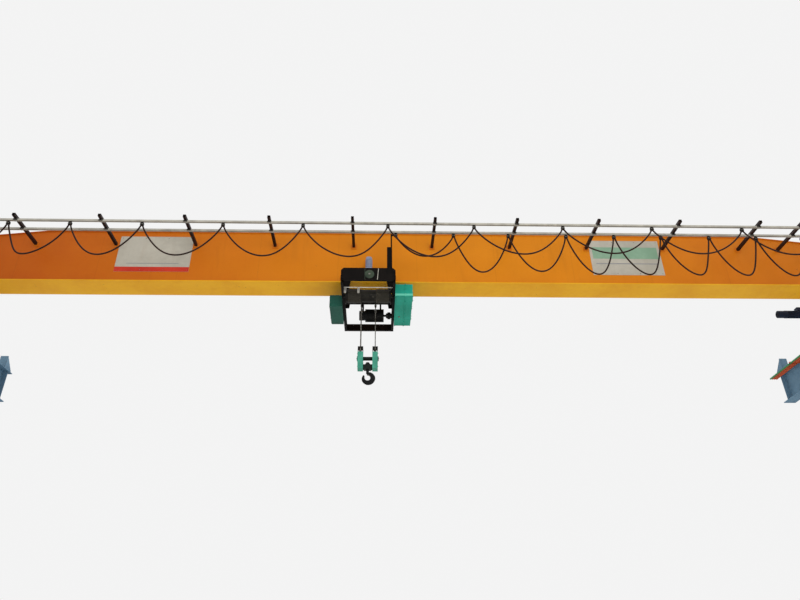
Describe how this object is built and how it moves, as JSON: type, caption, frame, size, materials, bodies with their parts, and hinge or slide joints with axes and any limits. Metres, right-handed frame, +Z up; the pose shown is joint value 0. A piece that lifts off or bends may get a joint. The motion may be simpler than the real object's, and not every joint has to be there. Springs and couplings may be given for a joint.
{
  "type": "overhead bridge crane",
  "caption": "Overhead travelling crane: one box girder on end carriages and runway beams, with an underslung rope hoist trolley, hook block and festoon cables.",
  "frame": {"origin": "middle of the left runway beam's underside, where the beam sits on its support", "axes": "+X along the girder from the left rail to the right one, +Y along the runway away from the crane's front, +Z up"},
  "size_m": [17.4, 6, 3.0731],
  "materials": {
    "runway_paint": "satin",
    "rail_steel": "worn",
    "stop_paint": "satin",
    "conductor_plastic": "matte",
    "earth_plastic": "matte",
    "flange_paint": "gloss",
    "girder_paint": "gloss",
    "drive_paint": "satin",
    "buffer_rubber": "matte",
    "wheel_steel": "worn",
    "collector_steel": "satin",
    "board_enamel": "satin",
    "arm_paint": "satin",
    "track_steel": "dull",
    "clamp_plastic": "matte",
    "cable_rubber": "matte",
    "trolley_paint": "satin",
    "trolley_drive_paint": "satin",
    "gearbox_paint": "gloss",
    "panel_paint": "satin",
    "motor_paint": "satin",
    "bright_steel": "bright",
    "drum_steel": "greased",
    "rope_steel": "greased",
    "block_paint": "satin",
    "block_black": "satin",
    "hook_forging": "worn paint"
  },
  "bodies": {
    "runway": {"runway_beam_left": "runway_paint", "runway_beam_right": "runway_paint", "runway_rails": "rail_steel", "runway_end_stops": "stop_paint", "conductor_bars": "conductor_plastic", "earth_bar": "earth_plastic"},
    "bridge": {"girder_bottom_flange": "flange_paint", "girder_top_flange": "girder_paint", "girder_front_web": "girder_paint", "girder_rear_web": "girder_paint", "girder_end_plates": "girder_paint", "end_carriage_left": "girder_paint", "end_carriage_right": "girder_paint", "bridge_drives": "drive_paint", "carriage_buffers": "buffer_rubber", "current_collector": "collector_steel", "trolley_stops": "buffer_rubber", "sign_boards": "board_enamel", "festoon_arms": "arm_paint", "festoon_inner_track": "track_steel", "festoon_outer_track": "track_steel", "festoon_clamps": "clamp_plastic", "outer_cable": "cable_rubber", "inner_cable": "cable_rubber"},
    "near_wheels": {"bridge_wheels_near": "wheel_steel"},
    "far_wheels": {"bridge_wheels_far": "wheel_steel"},
    "trolley": {"tow_arm": "trolley_paint", "trolley_frame": "trolley_paint", "wheel_brackets": "trolley_paint", "trolley_drive": "trolley_drive_paint", "hoist_gearbox": "gearbox_paint", "electrical_panel": "panel_paint", "hoist_motor": "motor_paint", "motor_beam": "trolley_paint", "rope_anchor_beam": "trolley_paint", "rope_guide_bar": "bright_steel", "hoist_ropes": "rope_steel"},
    "left_trolley_wheels": {"trolley_wheels_left": "wheel_steel"},
    "right_trolley_wheels": {"trolley_wheels_right": "wheel_steel"},
    "drum": {"rope_drum": "drum_steel"},
    "hook_block": {"block_covers": "block_paint", "block_guards": "block_black", "block_axle": "block_black", "block_crosshead": "block_black"},
    "sheaves": {"block_sheaves": "wheel_steel"},
    "hook": {"lifting_hook": "hook_forging"},
    "carrier_1": {"cable_carrier_1": "clamp_plastic"},
    "carrier_2": {"cable_carrier_2": "clamp_plastic"},
    "carrier_3": {"cable_carrier_3": "clamp_plastic"},
    "carrier_4": {"cable_carrier_4": "clamp_plastic"},
    "carrier_5": {"cable_carrier_5": "clamp_plastic"},
    "carrier_6": {"cable_carrier_6": "clamp_plastic"},
    "carrier_7": {"cable_carrier_7": "clamp_plastic"},
    "carrier_8": {"cable_carrier_8": "clamp_plastic"}
  },
  "joints": [
    {"name": "bridge_travel", "type": "slide", "parent": "runway", "child": "bridge", "axis": [0, 1, 0], "range_m": [-1.2, 1.2]},
    {"name": "near_wheels_roll", "type": "hinge", "parent": "bridge", "child": "near_wheels", "pos_m": [0, -1.2, 0.8353], "axis": [1, 0, 0], "continuous": true},
    {"name": "far_wheels_roll", "type": "hinge", "parent": "bridge", "child": "far_wheels", "pos_m": [0, 1.2, 0.8353], "axis": [1, 0, 0], "continuous": true},
    {"name": "trolley_travel", "type": "slide", "parent": "bridge", "child": "trolley", "axis": [1, 0, 0], "range_m": [-6.43, 7.79], "deforming": ["inner_cable"]},
    {"name": "left_trolley_wheels_roll", "type": "hinge", "parent": "trolley", "child": "left_trolley_wheels", "pos_m": [7.43, 0, 1.1063], "axis": [0, 1, 0], "continuous": true},
    {"name": "right_trolley_wheels_roll", "type": "hinge", "parent": "trolley", "child": "right_trolley_wheels", "pos_m": [8.21, 0, 1.1063], "axis": [0, 1, 0], "continuous": true},
    {"name": "hoist", "type": "slide", "parent": "trolley", "child": "hook_block", "axis": [0, 0, 1], "range_m": [-6, 0.5], "deforming": ["hoist_ropes"]},
    {"name": "drum_turn", "type": "hinge", "parent": "trolley", "child": "drum", "pos_m": [7.82, -0.4, 0.63], "axis": [1, 0, 0], "continuous": true},
    {"name": "sheaves_turn", "type": "hinge", "parent": "hook_block", "child": "sheaves", "pos_m": [7.82, -0.1447, -0.46], "axis": [1, 0, 0], "continuous": true},
    {"name": "hook_swivel", "type": "hinge", "parent": "hook_block", "child": "hook", "pos_m": [7.82, -0.1447, -0.815], "axis": [0, 0, 1], "continuous": true},
    {"name": "carrier_1_travel", "type": "slide", "parent": "bridge", "child": "carrier_1", "axis": [1, 0, 0], "range_m": [-5.638, 6.828]},
    {"name": "carrier_2_travel", "type": "slide", "parent": "bridge", "child": "carrier_2", "axis": [1, 0, 0], "range_m": [-4.872, 5.901]},
    {"name": "carrier_3_travel", "type": "slide", "parent": "bridge", "child": "carrier_3", "axis": [1, 0, 0], "range_m": [-4.062, 4.918]},
    {"name": "carrier_4_travel", "type": "slide", "parent": "bridge", "child": "carrier_4", "axis": [1, 0, 0], "range_m": [-3.391, 4.106]},
    {"name": "carrier_5_travel", "type": "slide", "parent": "bridge", "child": "carrier_5", "axis": [1, 0, 0], "range_m": [-2.733, 3.309]},
    {"name": "carrier_6_travel", "type": "slide", "parent": "bridge", "child": "carrier_6", "axis": [1, 0, 0], "range_m": [-2.054, 2.486]},
    {"name": "carrier_7_travel", "type": "slide", "parent": "bridge", "child": "carrier_7", "axis": [1, 0, 0], "range_m": [-1.392, 1.684]},
    {"name": "carrier_8_travel", "type": "slide", "parent": "bridge", "child": "carrier_8", "axis": [1, 0, 0], "range_m": [-0.739, 0.893]}
  ],
  "couplings": [
    {"joint": "near_wheels_roll", "follows": "bridge_travel", "rad_per_m": -8},
    {"joint": "far_wheels_roll", "follows": "bridge_travel", "rad_per_m": -8},
    {"joint": "left_trolley_wheels_roll", "follows": "trolley_travel", "rad_per_m": 12.5},
    {"joint": "right_trolley_wheels_roll", "follows": "trolley_travel", "rad_per_m": 12.5},
    {"joint": "drum_turn", "follows": "hoist", "rad_per_m": 16.625},
    {"joint": "sheaves_turn", "follows": "hoist", "rad_per_m": -7.4074},
    {"joint": "carrier_1_travel", "follows": "trolley_travel", "ratio": 0.8752},
    {"joint": "carrier_2_travel", "follows": "trolley_travel", "ratio": 0.7562},
    {"joint": "carrier_3_travel", "follows": "trolley_travel", "ratio": 0.6301},
    {"joint": "carrier_4_travel", "follows": "trolley_travel", "ratio": 0.5258},
    {"joint": "carrier_5_travel", "follows": "trolley_travel", "ratio": 0.4235},
    {"joint": "carrier_6_travel", "follows": "trolley_travel", "ratio": 0.3179},
    {"joint": "carrier_7_travel", "follows": "trolley_travel", "ratio": 0.2149},
    {"joint": "carrier_8_travel", "follows": "trolley_travel", "ratio": 0.1133}
  ]
}
